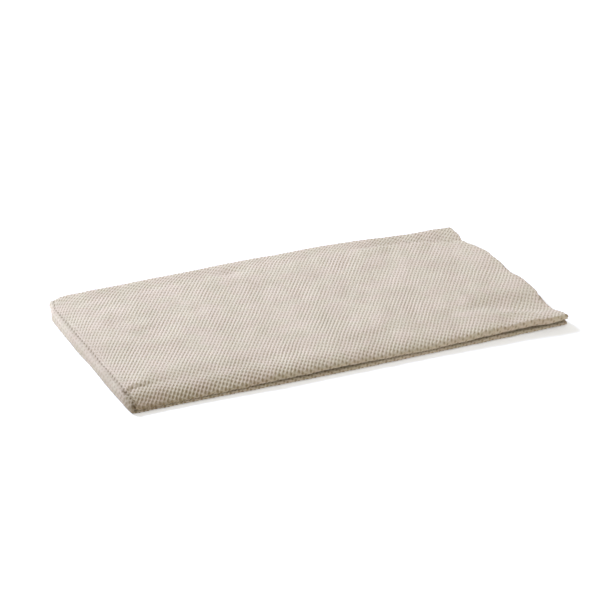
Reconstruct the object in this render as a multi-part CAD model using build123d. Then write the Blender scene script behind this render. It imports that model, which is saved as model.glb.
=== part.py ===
from build123d import *
import math
import os

# A two-ply paper napkin, folded in half, in half again the same way, and then across.
# The long folds lie at the front (-Y), the short cross fold is the left end (-X), the
# cut ends of the sheet are at the right (+X), and the free edges and the first fold
# are at the back (+Y). The origin is at the bottom centre of the folded napkin.

# The open sheet
sheet_width = 400.0        # across the two long folds
sheet_length = 400.0       # across the cross fold
sheet_thickness = 0.45     # two embossed plies together
layer_gap = 0.25           # air between two neighbouring layers

# How it is folded
back_overhang = 12.0       # first fold's edge past the two free edges, at the back
strip_close = 0.9          # how far each half's outer layers close in past the free edges
close_run = 8.0            # length of the bend in which they do
free_edge_gap = 1.5        # flat stretch between the free edges and that bend
end_fan = 1.5              # innermost layers past the outermost ones at the cut end

# The cut end, seen from above
cut_bow = 1.0              # its bulge between the front corner and the back strip
strip_setback = 2.5        # the back strip's end stands this far in

# Overrun of the trimming blocks past the napkin
trim_overrun = 5.0

# What follows from these sizes
layers_per_half = 4
pitch = sheet_thickness + layer_gap
half_height = layers_per_half * sheet_thickness + (layers_per_half - 0.5) * layer_gap
height = 2 * half_height

outer_fold_radius = 1.5 * pitch
inner_fold_radius = 0.5 * pitch
fold_arcs_length = math.pi * (outer_fold_radius + 2 * inner_fold_radius)

# The sheet's width is two short runs, two long runs and the three folds between them.
back_fold_reach = inner_fold_radius + sheet_thickness / 2
front_fold_reach = outer_fold_radius + sheet_thickness / 2
long_run = (sheet_width + 2 * (back_overhang - back_fold_reach) - fold_arcs_length) / 4
folded_depth = front_fold_reach + long_run + back_fold_reach

front_fold_y = -folded_depth / 2 + front_fold_reach
back_fold_y = folded_depth / 2 - back_fold_reach
free_edge_y = folded_depth / 2 - back_overhang
bend_y = free_edge_y + free_edge_gap

# The outermost layer's length is two runs and the cross fold around the other layers.
cross_fold_length = math.pi * (half_height - sheet_thickness / 2)
outer_run = (sheet_length - cross_fold_length) / 2
folded_length = half_height + outer_run + end_fan
cross_fold_x = -folded_length / 2 + half_height
cut_end_x = folded_length / 2


def layer_height(layer):
    """Height of a layer's middle in the lower half; layer 1 is the outermost."""
    return sheet_thickness / 2 + (layer - 1) * pitch


def fold(y, first, last, start_angle):
    """Half circle that joins two layers, about the point midway between them."""
    middle = (layer_height(first) + layer_height(last)) / 2
    radius = (layer_height(last) - layer_height(first)) / 2
    return CenterArc((y, middle), radius, start_angle, 180)


def short_run(layer):
    """An inner layer, from the front fold to its free edge."""
    z = layer_height(layer)
    return Line((front_fold_y, z), (free_edge_y, z))


def closing_run(layer):
    """An outer layer, which bends towards the middle past the free edges."""
    z = layer_height(layer)
    middle = (bend_y + close_run / 2, z + strip_close / 2)
    end = (bend_y + close_run, z + strip_close)
    flat = Line((front_fold_y, z), (bend_y, z))
    rise = TangentArc((bend_y, z), middle, tangent=(1, 0))
    level = TangentArc(middle, end, tangent=rise % 1)
    strip = Line(end, (back_fold_y, z + strip_close))
    return flat + rise + level + strip


def half_section():
    """The lower half's four layers, cut across, on the plane where the cross fold starts."""
    first_fold = Pos(0, strip_close) * fold(back_fold_y, 1, 2, -90)
    front_outer = fold(front_fold_y, 1, 4, 90)
    front_inner = fold(front_fold_y, 2, 3, 90)
    inner_layers = short_run(3) + short_run(4)
    outer_layers = closing_run(1) + closing_run(2)
    path = inner_layers + outer_layers + first_fold + front_outer + front_inner
    section = trace(path, line_width=sheet_thickness)
    return Plane.YZ.offset(cross_fold_x) * section


def folded_sheet():
    """Both halves, joined by the cross fold, with square ends."""
    section = half_section()
    lower = extrude(section, amount=cut_end_x - cross_fold_x, dir=(1, 0, 0))
    upper = mirror(lower, about=Plane.XY.offset(half_height))
    axis = Axis((cross_fold_x, 0, half_height), (0, 1, 0))
    cross_fold = revolve(section, axis=axis, revolution_arc=180)
    return lower + cross_fold + upper


def fanned_end():
    """Block that the napkin keeps within: its right end is a wedge, out furthest midway."""
    left = -folded_length / 2 - trim_overrun
    half_stack = half_height - layer_gap / 2
    overrun_x = cut_end_x - end_fan * (half_stack + trim_overrun) / half_stack
    outline = Polyline(
        (left, -trim_overrun),
        (overrun_x, -trim_overrun),
        (cut_end_x, half_stack),
        (cut_end_x, height - half_stack),
        (overrun_x, height + trim_overrun),
        (left, height + trim_overrun),
        close=True,
    )
    profile = Plane.XZ * make_face(outline)
    return extrude(profile, amount=folded_depth / 2 + trim_overrun, both=True)


def cut_line():
    """Block that the napkin keeps within, seen from above: a bowed cut end and a set-back strip."""
    left = -folded_length / 2 - trim_overrun
    front = -folded_depth / 2 - trim_overrun
    back = folded_depth / 2 + trim_overrun
    corner = (cut_end_x - cut_bow, front)
    bow = (cut_end_x, (front + free_edge_y) / 2)
    strip_corner = (cut_end_x - cut_bow, free_edge_y)
    step = (cut_end_x - cut_bow - strip_setback, bend_y)
    edge = ThreePointArc(corner, bow, strip_corner)
    rest = Polyline(strip_corner, step, (step[0], back), (left, back), (left, front), corner)
    plan = make_face(edge + rest)
    return Pos(0, 0, -trim_overrun) * extrude(plan, amount=height + 2 * trim_overrun)


napkin = folded_sheet() & fanned_end() & cut_line()

os.makedirs("parts", exist_ok=True)
export_step(napkin, "parts/napkin.step")
print("folded size", round(folded_length, 2), round(folded_depth, 2), round(height, 2))
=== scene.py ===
import math

import bpy
import numpy as np
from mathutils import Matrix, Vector


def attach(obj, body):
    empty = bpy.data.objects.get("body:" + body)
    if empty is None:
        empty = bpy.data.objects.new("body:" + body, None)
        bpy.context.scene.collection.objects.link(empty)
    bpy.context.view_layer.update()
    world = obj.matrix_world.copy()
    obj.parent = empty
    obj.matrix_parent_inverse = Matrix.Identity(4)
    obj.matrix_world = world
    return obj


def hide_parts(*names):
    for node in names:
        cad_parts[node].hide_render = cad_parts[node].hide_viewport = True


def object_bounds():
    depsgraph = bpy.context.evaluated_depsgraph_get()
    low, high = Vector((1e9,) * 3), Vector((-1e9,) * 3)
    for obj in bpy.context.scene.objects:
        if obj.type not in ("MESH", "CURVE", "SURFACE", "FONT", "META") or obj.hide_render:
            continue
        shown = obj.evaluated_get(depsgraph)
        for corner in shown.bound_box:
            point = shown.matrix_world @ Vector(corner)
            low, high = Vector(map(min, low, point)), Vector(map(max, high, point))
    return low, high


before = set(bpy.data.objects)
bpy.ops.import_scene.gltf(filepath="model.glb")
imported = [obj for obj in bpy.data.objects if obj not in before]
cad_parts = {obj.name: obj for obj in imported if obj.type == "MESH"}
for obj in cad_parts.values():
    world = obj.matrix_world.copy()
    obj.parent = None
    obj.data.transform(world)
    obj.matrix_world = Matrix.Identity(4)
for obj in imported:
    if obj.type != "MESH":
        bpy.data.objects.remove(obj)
cad_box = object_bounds()

# The mesh is worked out in millimetres, as the sheet is measured, and scaled once.
MM = 0.001
LEFT, FRONT, _ = (value / MM for value in cad_box[0])
RIGHT, BACK, HEIGHT = (value / MM for value in cad_box[1])

# The open sheet: a square of two-ply tissue, whose ridges add to its thickness.
SHEET = 400.0
THICK = 0.30
GAP = 0.40           # usual air between two layers
LEAST_AIR = 0.75     # least air of all the gaps together, where the layers are pressed
LAYERS = 4           # layers in each half
PITCH = THICK + GAP
OVERHANG = 12.0      # the first fold's edge past the free edges, at the back

# Lengths along the sheet's width: a short run to the front fold, round it, a long run to
# the first fold at the back, round that, and back the same way inside.
OUTER_FOLD = math.pi * 1.5 * PITCH
INNER_FOLD = math.pi * 0.5 * PITCH
BACK_REACH = (PITCH + THICK) / 2
LONG_RUN = (SHEET + 2 * (OVERHANG - BACK_REACH) - OUTER_FOLD - 2 * INNER_FOLD) / 4
SHORT_RUN = LONG_RUN + BACK_REACH - OVERHANG
WIDTH_STEPS = [SHORT_RUN, OUTER_FOLD, LONG_RUN, INNER_FOLD, LONG_RUN, INNER_FOLD, SHORT_RUN]
WIDTH_KNOTS = np.concatenate([[0.0], np.cumsum(WIDTH_STEPS)])

# The part of the width that shows: round the front fold, over the face and round the first fold.
SHOWN_START, FACE_START, FACE_END, SHOWN_END = WIDTH_KNOTS[1:5]

# Lengths along the sheet's length: the lower run, the cross fold and the upper run.
CROSS_FOLD = math.pi * (HEIGHT - THICK) / 2
CROSS_RUN = (SHEET - CROSS_FOLD) / 2
FOLD_REACH = 2.45    # how far the cross fold stands out from where it starts to turn

# The section's runs and folds in order: the layers that each leaves and reaches, and
# where it turns or which way it goes.
SECTION = [
    ("run", 4, 4, "free", "front"),
    ("fold", 4, 1, "front", "front"),
    ("run", 1, 1, "front", "back"),
    ("fold", 1, 2, "back", "back"),
    ("run", 2, 2, "back", "front"),
    ("fold", 2, 3, "front", "front"),
    ("run", 3, 3, "front", "free"),
]
FAN = {1: 0.0, 2: 0.9, 3: 0.5, 4: 1.1}    # how far past the outline each layer is cut

# The embossed ridges: repeats for each millimetre along the sheet's length and width.
RIDGES_LENGTHWISE = 0.55
RIDGES_WIDTHWISE = -0.385
RIDGE_HEIGHT = 0.072
RIDGE_POINTS = 4     # points of a row on each ridge

# Where the face turns into the left end, on the flat sheet, and the two places near the
# front corner where that crease gapes: how far across the sheet each is, and half its length.
CREASE = SHEET - CROSS_RUN
SLIT_LINE = CREASE - 0.7
SLIT_WIDTH = 0.6
SLITS = [(FACE_START + 9.4, 2.6), (FACE_START - 0.6, 1.5)]

# The front edge has four parts: left, middle, right and the thin lip at its right end. These
# are the places along the napkin between which it changes from each to the next.
PART_CHANGES = [(-75.0, -25.0), (35.0, 70.0), (72.0, 86.0)]

# For each of the four parts: how far the front fold stands out, how deep the shelf beside it
# is, how far in the face starts to roll down and how steep that gets, and how far the rolled
# fold reaches and droops.
EDGE_OUT = [0.3, 1.0, 0.7, 0.7]
SHELF_DEPTH = [0.95, 0.40, 0.05, 0.05]
ROLL_START = [9.0, 8.5, 4.5, 2.3]
ROLL_SLOPE = [0.50, 0.26, 0.14, 0.05]
ROLL_REACH = [1.9, 2.8, 1.4, 0.9]
ROLL_DROOP = [0.26, 0.20, 0.10, 0.0]

# How far the soft napkin stands over the solid's height, the run in which it climbs to that
# from the cross fold, how much more it bulges midway, and how far its underside is lifted.
EXTRA_HEIGHT = 0.55
CLIMB_RUN = 16.0
BULGE = 0.15
UNDERSIDE = 0.20

# The strip at the back: the places along the napkin between which it sinks flat, where it
# starts past the inner layers' free edges, and the runs in which its halves close in.
STRIP_SINKS = (40.0, 74.0)
STRIP_START = 0.5
UPPER_RUN = 3.5
LOWER_RUN = 6.0

# The cut end's outline, seen from above: places across the napkin, and how far it reaches.
CUT_PLACES = [-53, -46, -39, -29, -17, -11, -3, 5, 19, 27, 32, 36, 40, 47, 53]
CUT_REACHES = [
    101.2, 101.7, 100.3, 100.0, 101.2, 100.6, 99.1, 99.5,
    100.3, 98.2, 95.9, 95.6, 97.2, 98.6, 97.6,
]

# The line along which the inner layers end: places along the napkin, and how far in it is.
FREE_PLACES = [-100, -42, -22, 38, 58, 78, 96]
FREE_DEPTHS = [14.0, 14.0, 12.6, 12.2, 11.0, 14.2, 22.0]

# The rounded step round the sunk front left corner: the centre of its curve, seen from
# above, its radius, how wide and deep it is, and the places along which it ends.
STEP_CENTRE = (-92.1, -43.6)
STEP_RADIUS = 5.5
STEP_WIDTH = 1.6
STEP_DEPTH = 1.0
STEP_END = (-76.0, -92.0)

# The valley at the front right corner: where its top and its low line lie at one place along
# the napkin, and how fast each slants forward from there.
VALLEY_PLACE = 75.0
VALLEY_TOP, TOP_SLANT = -17.0, 0.25
VALLEY_LOW, LOW_SLANT = -32.5, 0.36

# Soft lines on the face, sunk or raised: height, start, end and width.
CREASES = [
    (-0.55, (57, -31.0), (74, -31.5), 3.5),
    (0.40, (62, -39.5), (94, -47), 4.0),
    (0.25, (84, -53), (104, -54), 5.0),
    (-0.25, (-96, 6), (-59, 5), 1.5),
    (-0.15, (2, -37.5), (26, -37), 1.8),
]

# Shallow dimples and low bumps on the face: height, place and size (across, deep).
DIMPLES = [
    (-0.40, (-72, 18), (7, 4)),
    (-0.35, (-41, 16), (5, 4)),
    (-0.40, (-13.5, 44.5), (5, 3.5)),
    (0.40, (-14.5, 50.5), (6, 3)),
    (-0.30, (21, 24), (5, 4)),
    (-0.28, (2, 40), (6, 4)),
    (-0.30, (60, 35), (6, 4)),
    (-0.30, (-8, 20), (6, 13)),
    (0.30, (-73, -7), (7, 3)),
    (0.28, (7, 3), (7, 4)),
    (0.20, (-52, 24), (6, 4)),
]

# Places and sizes of the painted shade on the flat sheet.
FRONT_FOLD_MIDDLE = SHOWN_START + OUTER_FOLD / 2
CREASE_HALF_WIDTH = 0.36
END_FACE = 3.6       # how far the left end's face reaches to each side of its middle line

# The beads on the ridges: repeats for each millimetre along the sheet's length and width.
BEADS_LENGTHWISE = 0.24
BEADS_WIDTHWISE = 0.35

# What the paper's colour is multiplied by for the painted shade on its left end, in the pits
# and along the crease, and the colour of the light that shines through it.
END_SHADE_COLOUR = (0.50, 0.49, 0.48, 1)
PIT_SHADE_COLOUR = (0.50, 0.44, 0.35, 1)
CREASE_SHADE_COLOUR = (0.30, 0.25, 0.19, 1)
THROUGH_COLOUR = (0.80, 0.60, 0.34, 1)

# The floor as it throws light back and as it is seen, the light from all round, and the lamps.
FLOOR_COLOUR = (0.90, 0.865, 0.80, 1)
FLOOR_SEEN_COLOUR = (1.47, 1.63, 2.07, 1)
WORLD_COLOUR = (1.0, 0.875, 0.63, 1)
SOFTBOX_SIZE = 0.6
SOFTBOX_DISTANCE = 1.3


def rise(value, start, end):
    """0 at start, 1 at end and a smooth rise between, whichever of the two is greater."""
    share = np.clip((value - start) / (end - start), 0.0, 1.0)
    return share * share * (3.0 - 2.0 * share)


def hump(x, y, at, size):
    """A soft bump of height 1 at a place, size (across, deep)."""
    return np.exp(-(((x - at[0]) / size[0]) ** 2) - ((y - at[1]) / size[1]) ** 2)


def crease(x, y, start, end, width):
    """A soft line of height 1 from start to end."""
    start, end = np.array(start), np.array(end)
    step = end - start
    along = ((x - start[0]) * step[0] + (y - start[1]) * step[1]) / (step @ step)
    along = np.clip(along, 0.0, 1.0)
    gap = np.hypot(x - start[0] - along * step[0], y - start[1] - along * step[1])
    return np.exp(-((gap / width) ** 2))


def rumple(x, y, size, seed, waves=9):
    """Random soft unevenness of about 1, with waves of about that size."""
    rng = np.random.default_rng(seed)
    total = np.zeros(np.broadcast(x, y).shape)
    for _ in range(waves):
        angle, phase = rng.uniform(0, 2 * math.pi, 2)
        k = 2 * math.pi / (size * rng.uniform(0.7, 1.4))
        total += np.cos(k * (x * math.cos(angle) + y * math.sin(angle)) + phase)
    return total * math.sqrt(2 / waves)


def by_part(x, values):
    """A value that goes softly through those of the front edge's four parts."""
    value = values[0]
    for (start, end), before, after in zip(PART_CHANGES, values, values[1:]):
        value = value + (after - before) * rise(x, start, end)
    return value


def rounded_line(at, places, values, reach):
    """A line through measured points, softly rounded over that reach to each side."""
    shift = reach * np.array([-1.0, -1 / 3, 1 / 3, 1.0])
    return np.interp(at[..., None] + shift, places, values).mean(axis=-1)


def front_edge(x, upper):
    """The front fold's outline, seen from above; the upper one's end stands out at the right."""
    out = by_part(x, EDGE_OUT) + 1.3 * upper * rise(x, 84.0, 92.0)
    wander = 0.15 * rumple(x, 30.0 * upper, 45.0, seed=11)
    wander += 0.07 * rumple(x, 30.0 * upper, 9.0, seed=17)
    return FRONT - out + wander


def back_edge(x):
    """The back fold's outline: bowed out, set back at the right and rounded at the left."""
    bow = 0.7 + 0.9 * (1.0 - (x / RIGHT) ** 2)
    setback = 1.3 * rise(x, 60.0, 90.0) + 1.6 * rise(x, 86.0, 98.0)
    corner = 3.6 * rise(x, LEFT + 14.0, LEFT) ** 1.5
    return BACK + bow - setback - corner + 0.12 * rumple(x, 0 * x, 40.0, seed=12)


def cut_edge(y):
    """The cut end's outline, seen from above."""
    return rounded_line(y, CUT_PLACES, CUT_REACHES, 1.5)


def free_edge(x):
    """The line along which the inner layers end; the strip behind it widens to the right."""
    depth = rounded_line(x, FREE_PLACES, FREE_DEPTHS, 6.0)
    return BACK - depth + 0.3 * rumple(x, 0 * x, 60.0, seed=14)


def cross_fold_line(y):
    """Where the cross fold starts to turn, seen from above."""
    corner = 2.4 * rise(y, BACK - 11.0, BACK + 1.0) ** 2
    return LEFT + FOLD_REACH + 0.2 + corner + 0.12 * rumple(0 * y, y, 30.0, seed=13)


def front_shelf(x, y):
    """How far the face sinks to a low shelf along the front, past a faint ridge."""
    shelf = by_part(x, SHELF_DEPTH) * (0.2 + 0.8 * rise(x, LEFT + 8.0, LEFT + 24.0))
    ridge = 0.12 * crease(x, y, (-86, -43.5), (-5, -43), 2.5)
    return shelf * (rise(y, FRONT + 21.0, FRONT + 11.0) - ridge)


def front_roll(x, y):
    """How far the face rolls down to the front fold; at the left end the roll is gentler."""
    start = by_part(x, ROLL_START) + 1.2 * rise(x, LEFT + 20.0, LEFT + 6.0)
    run = start - (axis_line("front", x, 1.0) - FRONT)
    slope = by_part(x, ROLL_SLOPE) - 0.25 * rise(x, LEFT + 8.0, LEFT + 3.0)
    return slope * (start - (y - FRONT)).clip(0.0) ** 2 / (2.0 * run)


def corner_step(x, y):
    """How far the front left corner sinks, within a rounded step beside the cross fold."""
    away = np.hypot((STEP_CENTRE[0] - x).clip(0.0), (y - STEP_CENTRE[1]).clip(0.0))
    within = rise(away, STEP_RADIUS, STEP_RADIUS - STEP_WIDTH)
    return STEP_DEPTH * within * rise(x, *STEP_END)


def right_valley(x, y):
    """How far the front right corner sinks to a slanted line, behind the lip."""
    top_line = VALLEY_TOP - TOP_SLANT * (x - VALLEY_PLACE)
    low_line = VALLEY_LOW - LOW_SLANT * (x - VALLEY_PLACE)
    climb = 10.0 + 3.0 * rise(x, 80.0, 92.0)
    depth = (2.1 + 0.5 * rise(x, 80.0, 95.0)) * rise(x, 68.0, 84.0)
    return depth * rise(y, top_line, low_line) * rise(y, low_line - climb, low_line)


def soft_waves(x, y):
    """Soft unevenness all over, stronger towards the cut end."""
    loose = 0.8 + 0.5 * rise(x, 20.0, 100.0)
    waves = 0.12 * rumple(x, y, 45.0, seed=1) + 0.07 * rumple(x, y, 17.0, seed=2)
    return loose * waves + 0.035 * rumple(x, y, 8.0, seed=3, waves=14)


def body_height(x, y):
    """Height of the upper face over the lower one, before the back strip's drop."""
    height = HEIGHT + EXTRA_HEIGHT * rise(x, LEFT, LEFT + CLIMB_RUN)
    height += BULGE * (1.0 - (x / RIGHT) ** 2) + soft_waves(x, y)
    height -= front_shelf(x, y) + front_roll(x, y) + corner_step(x, y) + right_valley(x, y)
    for raised, start, end, width in CREASES:
        height += raised * crease(x, y, start, end, width)
    for raised, place, size in DIMPLES:
        height += raised * hump(x, y, place, size)
    return height


def strip_rise(x, y):
    """How far the lower half's strip at the back stands off the table."""
    past = y - free_edge(x) - STRIP_START
    height = 1.15 - 0.95 * rise(x, *STRIP_SINKS) + 0.22 * rumple(x, 0 * x, 50.0, seed=16)
    return height.clip(0.0) * rise(past, 0.0, LOWER_RUN)


def strip_drop(x, y):
    """How far the upper layers sink past the inner layers' free edges."""
    past = y - free_edge(x) - STRIP_START
    right = rise(x, *STRIP_SINKS)
    depth = 0.40 - 0.25 * rise(x, -35.0, -5.0) + 3.0 * right
    climb = 0.15 * right * (past - UPPER_RUN).clip(0.0)
    return depth * rise(past, 0.0, UPPER_RUN) - climb + strip_rise(x, y)


def lift(x, y):
    """How far the underside stands off the table."""
    right = 0.20 * rise(x, RIGHT - 22.0, RIGHT)
    corner = 0.15 * crease(x, y, (80, -50), (100, -50), 10.0)
    return UNDERSIDE + strip_rise(x, y) + right + corner


def gap_shares(x, y):
    """How the air between the upper and lower face is shared by the gaps, lowest first."""
    loose = 0.25 + 0.35 * rise(x, 30.0, 100.0)
    shares = []
    for m in range(2 * LAYERS - 1):
        shares.append(np.exp(loose * rumple(x, y, 55.0, seed=20 + m)))
    # at the front edge the lower half is pressed flat under the roll of the upper one
    at_front = rise(y, FRONT + 8.0, FRONT + 1.0)
    for m in range(LAYERS - 1):
        shares[m] *= 1.0 - 0.65 * at_front
    # the folds at the back are puffed up, but for the sunk right end
    puffed = 2.4 * rise(y, BACK - 11.0, BACK - 3.0) * rise(x, 64.0, 30.0)
    for m in (0, 2 * LAYERS - 2):
        shares[m] *= 1.0 + puffed
    # the halves part a little, the more at the lifted corner
    corner = crease(x, y, (84, -46), (103, -50), 9.0)
    for m in range(LAYERS, 2 * LAYERS - 1):
        shares[m] *= 1.0 + corner
    parted = 2.0 * rise(x, -55.0, -75.0) * at_front
    wander = 0.4 * rumple(x, y, 12.0, seed=27).clip(-1.0, 1.0)
    shares[LAYERS - 1] *= 1.0 + wander + parted + 5.0 * corner
    return np.array(shares) / sum(shares)


def layer_heights(x, y):
    """Heights of the middles of all eight layers at each point, lowest first."""
    spare = body_height(x, y) - 2 * LAYERS * THICK - LEAST_AIR
    air = LEAST_AIR + spare * rise(spare, -0.2, 0.2)
    steps = THICK + gap_shares(x, y) * air
    table = lift(x, y)
    lower = [table + THICK / 2]
    for m in range(LAYERS - 1):
        lower.append(lower[-1] + steps[m])
    upper = [table + 2 * LAYERS * THICK + air - THICK / 2]
    for m in range(LAYERS - 1):
        upper.append(upper[-1] - steps[-1 - m])
    room = upper[1] - lower[1] - THICK
    drop = np.minimum(strip_drop(x, y), room - 0.15)
    upper = [level - drop for level in upper]
    return np.array(lower + upper[::-1])


def height_of(layer, upper, x, y):
    """Height of one layer's middle, in the lower or the upper half; layer 1 is outermost."""
    level = np.where(upper, 2 * LAYERS - layer, layer - 1)
    return np.take_along_axis(layer_heights(x, y), level[None], 0)[0]


def fold_reach(place, x, upper):
    """How far the outer fold stands out; the upper one at the front is rolled."""
    if place == "back":
        return 0.6 * PITCH + 0.0 * x
    return np.where(upper, by_part(x, ROLL_REACH), 1.3 * PITCH)


def axis_line(place, x, upper):
    """The line across the napkin at which a run of the section ends."""
    if place == "front":
        return front_edge(x, upper) + THICK / 2 + fold_reach(place, x, upper)
    if place == "back":
        return back_edge(x) - THICK / 2 - fold_reach(place, x, upper)
    return free_edge(x)


def front_spare(x, upper):
    """How much of the sheet the rolled front fold takes from each of the runs beside it."""
    a, b = fold_reach("front", x, upper), 1.5 * PITCH
    around = math.pi / 2 * (3.0 * (a + b) - np.sqrt((3.0 * a + b) * (a + 3.0 * b)))
    return (around - OUTER_FOLD) / 2


def section_share(width, x, upper):
    """Which part of the section a width is in, and how far along it, as one number."""
    spare = front_spare(x, upper)
    first, second = SHOWN_START - spare, FACE_START + spare
    in_fold = 1.0 + (width - first) / (second - first)
    beyond = 2.0 + (width - second) / (FACE_END - second)
    later = np.interp(width, WIDTH_KNOTS, np.arange(len(WIDTH_KNOTS)))
    share = np.where(width < second, in_fold, beyond)
    share = np.where(width < first, width / first, share)
    return np.where(width >= FACE_END, later, share)


def run_point(step, along, x, upper):
    """y and z of points at those shares of a flat run of the section."""
    layer, _, start, end = step
    at = axis_line(start, x, upper)
    y = at + along * (axis_line(end, x, upper) - at)
    return y, height_of(layer, upper, x, y)


def fold_point(step, along, x, upper):
    """y and z of points at those shares of a fold of the section."""
    first, last, place, _ = step
    centre = axis_line(place, x, upper)
    a = height_of(first, upper, x, centre)
    b = height_of(last, upper, x, centre)
    within = place == "front" and abs(first - last) == 1
    reach = fold_reach(place, x, upper) * (1 / 3 if within else 1.0)
    flatness = 0.6 * (1.0 - np.abs(a - b) / (2.0 * reach)).clip(0.0)
    turn = along * math.pi - flatness / 2 * np.sin(2 * math.pi * along)
    out = reach * np.sin(turn)
    z = (a + b) / 2 + (a - b) / 2 * np.cos(turn)
    if place == "back":
        return centre + out, z
    return centre - out, z - upper * by_part(x, ROLL_DROOP) * out


def section_point(width, x, upper):
    """y and z of points of the sheet at those widths, where the half's section is at x."""
    share = section_share(width, x, upper)
    part = np.minimum(share.astype(int), len(SECTION) - 1)
    y, z = np.zeros_like(x), np.zeros_like(x)
    for n, (kind, *step) in enumerate(SECTION):
        on = part == n
        if on.any():
            point = run_point if kind == "run" else fold_point
            y[on], z[on] = point(step, share[on] - n, x[on], upper[on])
    return y, z


def fan_out(width):
    """How far past the outline each part of the section is cut."""
    stops, reach = [], []
    for n, (_, first, last, _, _) in enumerate(SECTION):
        stops += [WIDTH_KNOTS[n], WIDTH_KNOTS[n + 1]]
        reach += [FAN[first], FAN[last]]
    # np.interp needs stops that rise, so each is set a hair past the one before
    return np.interp(width, np.array(stops) + 1e-6 * np.arange(len(stops)), reach)


def cross_fold_path(share, half):
    """The cross fold seen from the front: reach and height of points by their share of its length.

    It is a flat face with rounded corners, for a fold between two layers 2 * half apart.
    The height runs from -1 at the lower layer to 1 at the upper one.
    """
    reach = FOLD_REACH - (HEIGHT - THICK) / 2 + half
    corner = (0.95 - 0.13 * half) * np.minimum(reach, half)
    level, arc, face = reach - corner, corner * math.pi / 2, half - corner
    total = level + arc + face
    along = (1.0 - np.abs(2.0 * share - 1.0)) * total
    turn = ((along - level) / np.maximum(corner, 1e-6)).clip(0.0, math.pi / 2)
    out = along.clip(0.0, level) + corner * np.sin(turn)
    risen = corner * (1.0 - np.cos(turn)) + (along - level - arc).clip(0.0, None)
    swing = (risen - half) / half
    return out, np.where(share < 0.5, swing, -swing)


def sheet_place(length, width):
    """Where points of the flat sheet lie once it is folded."""
    upper = length > SHEET / 2
    beyond = np.where(upper, length - SHEET + CROSS_RUN, CROSS_RUN - length)
    turning = beyond < 0.0
    guess, _ = section_point(width, np.zeros_like(length), upper)
    start = cross_fold_line(guess)
    x = start + np.maximum(beyond, 0.0)
    y, z = section_point(width, x, upper)
    if turning.any():
        w, x0 = width[turning], start[turning]
        low_y, low_z = section_point(w, x0, np.zeros(len(w), bool))
        high_y, high_z = section_point(w, x0, np.ones(len(w), bool))
        share = (length[turning] - CROSS_RUN) / CROSS_FOLD
        out, swing = cross_fold_path(share, (high_z - low_z) / 2)
        x[turning] = x0 - out
        y[turning] = (low_y + high_y) / 2 + (high_y - low_y) / 2 * swing
        z[turning] = (low_z + high_z) / 2 + (high_z - low_z) / 2 * swing
    return np.stack([x, y, z], axis=-1)


def row_ends(width):
    """The lengths at which the sheet is cut, at its lower and its upper end, for each row."""
    ends = []
    for upper in (0, 1):
        y, _ = section_point(width, np.zeros_like(width), np.full(len(width), bool(upper)))
        ragged = 0.30 * rumple(width, 40.0 * upper + 0 * width, 14.0, seed=15)
        teeth = 0.22 * np.abs(np.sin(math.pi * width / 3.1 + upper))
        end = cut_edge(y) + fan_out(width) + ragged + teeth
        ends.append(end - cross_fold_line(y) - CROSS_RUN)
    return -ends[0], SHEET + ends[1]


def sheet_normal(length, width):
    """The unit normal of the folded sheet, out of the face that shows."""
    step = 0.12
    a = sheet_place(length + step, width) - sheet_place(length - step, width)
    b = sheet_place(length, np.minimum(width + step, SHEET))
    b -= sheet_place(length, np.maximum(width - step, 0.0))
    normal = np.cross(a, b)
    return normal / np.maximum(np.linalg.norm(normal, axis=-1, keepdims=True), 1e-9)


def ridge_phase(length, width):
    """Counts the embossed ridges over the flat sheet."""
    return RIDGES_LENGTHWISE * length + RIDGES_WIDTHWISE * width


def past_cross_fold(length):
    """How far points of the flat sheet are past the cross fold on either side; negative round it."""
    return np.abs(length - SHEET / 2) - CROSS_FOLD / 2


def ridge_shift(length, apart):
    """How far the ridges shift along the sheet between two rows; none round the cross fold."""
    return RIDGES_WIDTHWISE / RIDGES_LENGTHWISE * apart * rise(past_cross_fold(length), 0.0, 6.0)


def ridge_strength(length, width):
    """How strong the embossing is at points of the flat sheet."""
    strength = 1.45 - 0.65 * np.abs(length - SHEET / 2) / (SHEET / 2)
    strength *= 1.0 + 0.15 * np.exp(-(((width - FACE_START) / 4.0) ** 2))
    uneven = 0.20 * rumple(length, width, 30.0, seed=31)
    uneven += 0.12 * rumple(length, width, 6.0, seed=32, waves=14)
    strength *= 1.0 + uneven
    # the ridges are crushed round the cross fold, and flat where a face lies within
    strength *= 1.0 - 0.6 * (past_cross_fold(length) < 0.0)
    strength *= rise(width, SHOWN_START, SHOWN_START + 1.0)
    return strength * rise(width, SHOWN_END, SHOWN_END - 1.0)


def emboss(length, width):
    """Height of the embossing at points of the flat sheet; the left end's creases are pinched in."""
    crest = np.cos(2 * math.pi * ridge_phase(length, width))
    pinch = (0.09 - 0.04 * crest) * np.exp(-((past_cross_fold(length) / 0.5) ** 2))
    for place, half in SLITS:
        pinch += 0.16 * hump(length, width, (SLIT_LINE, place), (SLIT_WIDTH, half))
    return RIDGE_HEIGHT * ridge_strength(length, width) * crest - pinch


def graded(stops, steps):
    """Numbers from the first stop to the last, about one step apart between each two stops."""
    parts = [np.array(stops[:1])]
    for start, end, step in zip(stops, stops[1:], steps):
        parts.append(np.linspace(start, end, round(abs(end - start) / step) + 1)[1:])
    return np.concatenate(parts)


def face_widths(low, high, fine):
    """Widths of the rows of an outermost run: closer at its front corner and its back step."""
    if fine:
        return graded([low, low + 17.0, high - 21.0, high - 9.0, high], (1.05, 2.35, 1.0, 1.55))
    stops = [low, low + 9.0, low + 14.0, low + 18.0, high - 22.0, high - 9.0, high]
    return graded(stops, (1.6, 0.8, 1.6, 5.5, 1.05, 2.2))


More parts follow.
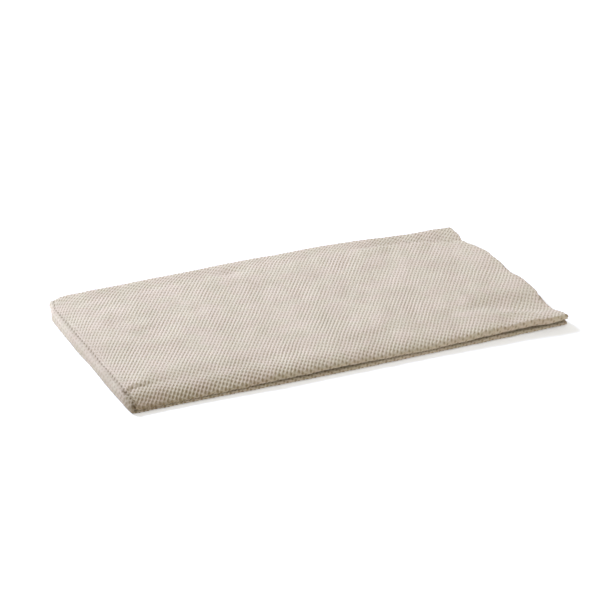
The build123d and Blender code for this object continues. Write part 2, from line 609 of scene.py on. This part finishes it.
def row_widths(fine):
    """Widths of the mesh's rows: close together round the folds, and on the face that shows."""
    steps = []
    for n, (kind, first, _, start, _) in enumerate(SECTION):
        low, high = WIDTH_KNOTS[n], WIDTH_KNOTS[n + 1]
        if kind == "fold":
            inner = np.linspace(low, high, 9 if high - low > 2 * INNER_FOLD else 7)
        elif first == 1:
            inner = face_widths(low, high, fine)
        else:
            inner = graded([0.0, 16.0, high - low - 24.0, high - low], (1.6, 5.5, 2.2))
            inner = low + inner if start == "front" else high - inner[::-1]
        steps.append(inner[:-1])
    return np.append(np.concatenate(steps), SHEET)


def coarse_row(width, start, end):
    """Points of a plain row: closer together round the cross fold and at the cut ends."""
    steps = (1.4, 6.2, 2.6)
    upper = graded([CROSS_RUN + CROSS_FOLD, 218.0, 350.0, end], steps)
    lower = graded([CROSS_RUN, 182.0, 50.0, start], steps)
    turn = np.linspace(CROSS_RUN, CROSS_RUN + CROSS_FOLD, 20)
    length = np.concatenate([lower[:0:-1], turn, upper[1:]])
    return np.stack([length, np.full(len(length), width)], axis=-1)


def fine_row(width, start, end):
    """Points of a row that carries the ridges: each lies at the same place on its ridge."""
    low = math.ceil(RIDGE_POINTS * ridge_phase(start, width) + 0.2)
    high = math.floor(RIDGE_POINTS * ridge_phase(end, width) - 0.2)
    phase = np.arange(low, high + 1) / RIDGE_POINTS
    length = (phase - RIDGES_WIDTHWISE * width) / RIDGES_LENGTHWISE
    length = np.concatenate([[start], length, [end]])
    return np.stack([length, np.full(len(length), width)], axis=-1)


def face_rows(fine):
    """The rows of points of one face of the sheet, and whether each carries the ridges."""
    rows = []
    widths = row_widths(fine)
    for width, start, end in zip(widths, *row_ends(widths)):
        ridged = fine and SHOWN_START - 0.01 <= width <= SHOWN_END + 0.01
        row = fine_row if ridged else coarse_row
        rows.append((row(width, start, end), ridged))
    return rows


def zip_rows(first, second, first_key, second_key):
    """Triangles between two rows of vertex numbers, joined where their keys are alike."""
    i, j, faces = 0, 0, []
    while i < len(first) - 1 or j < len(second) - 1:
        ahead = j == len(second) - 1 or (
            i < len(first) - 1 and first_key[i + 1] <= second_key[j + 1]
        )
        if ahead:
            faces.append((first[i], first[i + 1], second[j]))
            i += 1
        else:
            faces.append((first[i], second[j + 1], second[j]))
            j += 1
    return faces


def join_rows(rows, numbers, side):
    """Triangles between all the rows of one face of the sheet."""
    faces = []
    for n in range(len(rows) - 1):
        (a, a_ridged), (b, b_ridged) = rows[n], rows[n + 1]
        key = b[:, 0]
        if a_ridged and b_ridged:
            key = key + ridge_shift(key, b[0, 1] - a[0, 1])
        faces += zip_rows(numbers[n], numbers[n + 1], a[:, 0], key)
    return faces if side > 0 else [face[::-1] for face in faces]


def build_face(fine, side, first_vertex):
    """Points, places and triangles of one face: side 1 shows, and side -1 is within.

    The last result gives the vertex numbers along each of its four edges, with their keys.
    """
    rows = face_rows(fine)
    flat = np.concatenate([row for row, _ in rows])
    off = np.full(len(flat), side * THICK / 2)
    if fine:
        off += emboss(flat[:, 0], flat[:, 1])
    normal = sheet_normal(flat[:, 0], flat[:, 1])
    places = sheet_place(flat[:, 0], flat[:, 1]) + normal * off[:, None]
    numbers, start = [], first_vertex
    for row, _ in rows:
        numbers.append(np.arange(start, start + len(row)))
        start += len(row)
    widths = np.array([row[0, 1] for row, _ in rows])
    edges = {
        "start": (numbers[0], rows[0][0][:, 0]),
        "end": (numbers[-1], rows[-1][0][:, 0]),
        "low": (np.array([row[0] for row in numbers]), widths),
        "high": (np.array([row[-1] for row in numbers]), widths),
    }
    return flat, places, join_rows(rows, numbers, side), edges


def build_napkin():
    """The folded sheet as one closed mesh, with its flat coordinates as a UV map."""
    flat_a, places_a, faces_a, edges_a = build_face(True, 1, 0)
    flat_b, places_b, faces_b, edges_b = build_face(False, -1, len(flat_a))
    rim = []
    for name, flipped in (("start", True), ("end", False), ("low", False), ("high", True)):
        (a, a_key), (b, b_key) = edges_a[name], edges_b[name]
        strip = zip_rows(a, b, a_key, b_key)
        rim += [face[::-1] for face in strip] if flipped else strip
    faces = np.array(faces_a + faces_b + rim, np.int32)
    places = np.concatenate([places_a, places_b]) * MM
    flat = np.concatenate([flat_a, flat_b])
    mesh = bpy.data.meshes.new("napkin_sheet")
    mesh.from_pydata(places.tolist(), [], faces.tolist())
    mesh.update()
    uv = mesh.uv_layers.new(name="sheet")
    uv.uv.foreach_set("vector", (flat[faces.ravel()] / SHEET).astype(np.float32).ravel())
    mesh.polygons.foreach_set("use_smooth", np.ones(len(faces), bool))
    mesh.set_sharp_from_angle(angle=math.radians(70))
    napkin = bpy.data.objects.new("folded_napkin", mesh)
    bpy.context.scene.collection.objects.link(napkin)
    return napkin


class Nodes:
    """Short calls to build a node tree; a value is a number, a colour or another node's output."""

    def __init__(self, owner):
        owner.use_nodes = True
        self.tree = owner.node_tree
        self.tree.nodes.clear()

    def add(self, kind, **values):
        node = self.tree.nodes.new(kind)
        for name, value in values.items():
            setattr(node, name, value)
        return node

    def put(self, value, target):
        """Sets an input to a number or a colour, or links another node's output to it."""
        if isinstance(value, bpy.types.NodeSocket):
            self.tree.links.new(value, target)
        else:
            target.default_value = value

    def math(self, operation, *inputs):
        node = self.add("ShaderNodeMath", operation=operation)
        for value, target in zip(inputs, node.inputs):
            self.put(value, target)
        return node.outputs[0]

    def plus(self, first, second):
        return self.math("ADD", first, second)

    def minus(self, first, second):
        return self.math("SUBTRACT", first, second)

    def times(self, first, second):
        return self.math("MULTIPLY", first, second)

    def falloff(self, value):
        """1 where a value is 0, and towards 0 as it grows."""
        return self.math("EXPONENT", self.times(value, -1.0))

    def mix_colours(self, first, second, share, blend="MIX"):
        mix = self.add("ShaderNodeMix", data_type="RGBA", blend_type=blend)
        self.put(share, mix.inputs["Factor"])
        self.put(first, mix.inputs["A"])
        self.put(second, mix.inputs["B"])
        return mix.outputs["Result"]

    def mix_shaders(self, first, second, share):
        mix = self.add("ShaderNodeMixShader")
        self.put(share, mix.inputs["Fac"])
        self.put(first, mix.inputs[1])
        self.put(second, mix.inputs[2])
        return mix.outputs[0]

    def ramp(self, value, low, high):
        """Colours between two stops, each a value and its colour."""
        node = self.add("ShaderNodeValToRGB")
        for element, (position, colour) in zip(node.color_ramp.elements, (low, high)):
            element.position = position
            element.color = colour
        self.put(value, node.inputs["Fac"])
        return node.outputs["Color"]

    def seen_directly(self):
        """1 for what the camera sees straight, in a mirror or through glass, and 0 for other light."""
        path = self.add("ShaderNodeLightPath")
        seen = self.math("MAXIMUM", path.outputs["Is Camera Ray"], path.outputs["Is Glossy Ray"])
        return self.math("MAXIMUM", seen, path.outputs["Is Transmission Ray"])


class SheetNodes(Nodes):
    """Patterns over the flat sheet, with their places and sizes in millimetres."""

    def __init__(self, material):
        super().__init__(material)
        uv = self.add("ShaderNodeUVMap", uv_map="sheet")
        scaled = self.add("ShaderNodeVectorMath", operation="SCALE")
        self.put(uv.outputs["UV"], scaled.inputs[0])
        self.put(SHEET, scaled.inputs["Scale"])
        self.flat = scaled.outputs["Vector"]
        split = self.add("ShaderNodeSeparateXYZ")
        self.put(self.flat, split.inputs[0])
        self.along, self.across = split.outputs["X"], split.outputs["Y"]

    def noise(self, scale, detail, along=1.0, across=1.0, rough=0.55):
        """Cloudy noise, that many times finer along the sheet and across it."""
        place = self.add("ShaderNodeMapping")
        self.put(self.flat, place.inputs["Vector"])
        self.put((along, across, 1.0), place.inputs["Scale"])
        node = self.add("ShaderNodeTexNoise")
        self.put(place.outputs["Vector"], node.inputs["Vector"])
        self.put(scale, node.inputs["Scale"])
        self.put(detail, node.inputs["Detail"])
        self.put(rough, node.inputs["Roughness"])
        return node.outputs["Fac"]

    def wave(self, lengthwise, widthwise):
        """Stripes from -1 to 1, with those repeats for each millimetre."""
        turns = self.plus(self.times(self.along, lengthwise), self.times(self.across, widthwise))
        return self.math("COSINE", self.times(turns, 2 * math.pi))

    def past(self, value, middle, size):
        """How far a value is past a middle one, as a share of a size."""
        return self.math("DIVIDE", self.minus(value, middle), size)

    def line(self, middle, half):
        """1 on a line across the sheet, and towards 0 past its half width."""
        away = self.past(self.along, middle, half)
        return self.falloff(self.times(away, away))

    def spot(self, at, size):
        """1 at a place, and towards 0 past its size (along, across)."""
        first = self.past(self.along, at[0], size[0])
        second = self.past(self.across, at[1], size[1])
        return self.falloff(self.plus(self.times(first, first), self.times(second, second)))


def paper_colour(n, fibres):
    """The paper's own colour: fibres, soft clouds and a faint wander of its hue."""
    tone = n.plus(n.times(n.noise(0.06, 3), 0.25), n.times(fibres, 0.75))
    paper = n.ramp(tone, (0.33, (0.575, 0.533, 0.50, 1)), (0.67, (0.881, 0.854, 0.851, 1)))
    hue = n.ramp(n.noise(0.10, 2), (0.42, (0.980, 1.0, 0.975, 1)), (0.58, (1.0, 0.982, 0.990, 1)))
    return n.mix_colours(paper, hue, 1.0, "MULTIPLY")


def beaded_pits(n, groove, fold_shade_spot):
    """The pits between the beads of the ridges, wider within the spot of painted shade round the front
    fold.
    """
    beads = n.plus(0.5, n.times(n.wave(BEADS_LENGTHWISE, BEADS_WIDTHWISE), 0.5))
    pits = n.math("POWER", n.times(groove, beads), n.minus(1.5, n.times(fold_shade_spot, 0.9)))
    breaks = n.noise(0.5, 2, along=1.6, rough=0.7)
    return n.times(pits, n.plus(0.45, n.times(breaks, 1.1)))


def painted_end_shade(n):
    """Painted shade: the left end is a little darker than the face, the more towards the front."""
    away = n.math("ABSOLUTE", n.past(n.along, SHEET / 2, END_FACE))
    to_front = n.math("DIVIDE", n.minus(FACE_END, n.across), LONG_RUN)
    share = n.plus(0.12, n.times(to_front, 0.36))
    return n.times(n.falloff(n.math("POWER", away, 4.0)), share)


def pit_shade(n, pits, fold_shade_spot):
    """How dark the painted shade is in the pits and at two places at the front left corner."""
    from_middle = n.math("ABSOLUTE", n.minus(n.along, SHEET / 2))
    at_end = n.math("LESS_THAN", from_middle, CROSS_FOLD / 2)
    depth = n.times(n.plus(0.72, n.times(fold_shade_spot, 0.48)), n.minus(1.0, n.times(at_end, 0.25)))
    # painted shade at the front left corner and along the front fold's band
    painted_corner_shade = n.spot((CREASE + 5.0, FACE_START + 3.0), (12.0, 9.0))
    shaded = n.spot((CREASE + 20.0, FRONT_FOLD_MIDDLE), (38.0, 6.0))
    return n.plus(n.times(pits, depth), n.times(n.plus(painted_corner_shade, shaded), 0.30))


def crease_shade(n, groove):
    """Painted shade along the dotted crease between the face and the left end, and at the two places
    where it gapes.
    """
    dots = n.plus(0.10, n.math("POWER", groove, 2.5))
    shade = n.times(n.line(CREASE, CREASE_HALF_WIDTH), dots)
    for place, half in SLITS:
        shade = n.plus(shade, n.spot((SLIT_LINE, place), (SLIT_WIDTH, half)))
    return shade


def paper_bump(n, fibres, pits):
    """Fine relief of fibres and flecks, with the pits sunk in it."""
    flecks = n.noise(0.9, 2, along=2.6, rough=0.6)
    relief = n.plus(n.times(fibres, 0.26), n.times(flecks, 0.32))
    bump = n.add("ShaderNodeBump")
    n.put(0.8, bump.inputs["Strength"])
    n.put(MM, bump.inputs["Distance"])
    n.put(n.minus(relief, n.times(pits, 0.14)), bump.inputs["Height"])
    return bump.outputs["Normal"]


def tissue_material():
    """Unbleached tissue with beaded ridges: soft and matte, with some light shining through."""
    material = bpy.data.materials.new("tissue")
    n = SheetNodes(material)
    fibres = n.noise(1.1, 4, across=2.2, rough=0.75)
    # a spot of painted shade round the front fold, which also widens the pits
    fold_shade_spot = n.spot((SHEET / 2, FRONT_FOLD_MIDDLE), (125.0, 13.0))
    groove = n.times(n.minus(1.0, n.wave(RIDGES_LENGTHWISE, RIDGES_WIDTHWISE)), 0.5)
    pits = beaded_pits(n, groove, fold_shade_spot)
    colour = paper_colour(n, fibres)
    # painted shade: the left end, the pits, two places at the front left corner and the crease are
    # darkened in the colour
    colour = n.mix_colours(colour, END_SHADE_COLOUR, painted_end_shade(n), "MULTIPLY")
    colour = n.mix_colours(colour, PIT_SHADE_COLOUR, pit_shade(n, pits, fold_shade_spot), "MULTIPLY")
    colour = n.mix_colours(colour, CREASE_SHADE_COLOUR, crease_shade(n, groove), "MULTIPLY")
    surface = n.add("ShaderNodeBsdfPrincipled")
    n.put(colour, surface.inputs["Base Color"])
    n.put(0.92, surface.inputs["Roughness"])
    n.put(0.2, surface.inputs["Specular IOR Level"])
    n.put(0.12, surface.inputs["Sheen Weight"])
    n.put(0.6, surface.inputs["Sheen Roughness"])
    n.put(paper_bump(n, fibres, pits), surface.inputs["Normal"])
    through = n.add("ShaderNodeBsdfTranslucent")
    n.put(THROUGH_COLOUR, through.inputs["Color"])
    paper = n.mix_shaders(surface.outputs[0], through.outputs[0], 0.2)
    n.put(paper, n.add("ShaderNodeOutputMaterial").inputs["Surface"])
    return material


def floor_material():
    """Pale and matte; what is seen of it is bright enough to show white where no shadow falls."""
    material = bpy.data.materials.new("pale_floor")
    n = Nodes(material)
    surface = n.add("ShaderNodeBsdfDiffuse")
    colour = n.mix_colours(FLOOR_COLOUR, FLOOR_SEEN_COLOUR, n.seen_directly())
    n.put(colour, surface.inputs["Color"])
    white = n.add("ShaderNodeEmission")
    shown = n.mix_shaders(surface.outputs[0], white.outputs[0], n.times(n.seen_directly(), 0.4))
    n.put(shown, n.add("ShaderNodeOutputMaterial").inputs["Surface"])
    return material


def add_floor():
    """A wide floor, a hair below the napkin."""
    side = 6.0
    mesh = bpy.data.meshes.new("floor")
    corners = [(-side, -side, 0), (side, -side, 0), (side, side, 0), (-side, side, 0)]
    mesh.from_pydata(corners, [], [(0, 1, 2, 3)])
    mesh.materials.append(floor_material())
    floor = bpy.data.objects.new("floor", mesh)
    floor.location.z = -0.02 * MM
    bpy.context.scene.collection.objects.link(floor)


def add_world():
    """Even light from all round, and a pale background past the floor."""
    world = bpy.data.worlds.new("studio")
    n = Nodes(world)
    light = n.add("ShaderNodeBackground")
    n.put(WORLD_COLOUR, light.inputs["Color"])
    n.put(0.50, light.inputs["Strength"])
    white = n.add("ShaderNodeBackground")
    n.put(1.0, white.inputs["Strength"])
    shown = n.mix_shaders(light.outputs[0], white.outputs[0], n.seen_directly())
    n.put(shown, n.add("ShaderNodeOutputWorld").inputs["Surface"])
    bpy.context.scene.world = world


def direction(azimuth, elevation):
    """Unit vector towards a place seen from the napkin, in degrees; azimuth 0 is the front."""
    a, e = math.radians(azimuth), math.radians(elevation)
    return Vector((math.sin(a) * math.cos(e), -math.cos(a) * math.cos(e), math.sin(e)))


def add_softbox(name, azimuth, elevation, power, colour):
    """A square lamp turned to the napkin."""
    data = bpy.data.lights.new(name, "AREA")
    data.size = SOFTBOX_SIZE
    data.energy = power
    data.color = colour
    lamp = bpy.data.objects.new(name, data)
    lamp.location = direction(azimuth, elevation) * SOFTBOX_DISTANCE
    lamp.rotation_euler = lamp.location.to_track_quat("Z", "Y").to_euler()
    bpy.context.scene.collection.objects.link(lamp)


def add_camera():
    """The photograph's view of the napkin's upper face, fitted from its outline."""
    target = Vector((34.2 * MM, 76.6 * MM, -30.8 * MM))
    distance = 1346.5 * MM
    data = bpy.data.cameras.new("camera")
    data.sensor_width = 36.0
    data.lens = 173.9
    camera = bpy.data.objects.new("camera", data)
    camera.location = target + direction(-24.26, 25.54) * distance
    camera.rotation_euler = (camera.location - target).to_track_quat("Z", "Y").to_euler()
    bpy.context.scene.collection.objects.link(camera)
    bpy.context.scene.camera = camera


napkin = build_napkin()
napkin.data.materials.append(tissue_material())
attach(napkin, "root")
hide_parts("napkin")

add_floor()
add_world()
add_softbox("key", azimuth=-148, elevation=35, power=25.0, colour=(0.90, 0.925, 1.0))
add_softbox("fill", azimuth=40, elevation=6, power=3.6, colour=(1.0, 0.92, 0.75))
add_camera()
bpy.context.scene.view_settings.view_transform = "Standard"
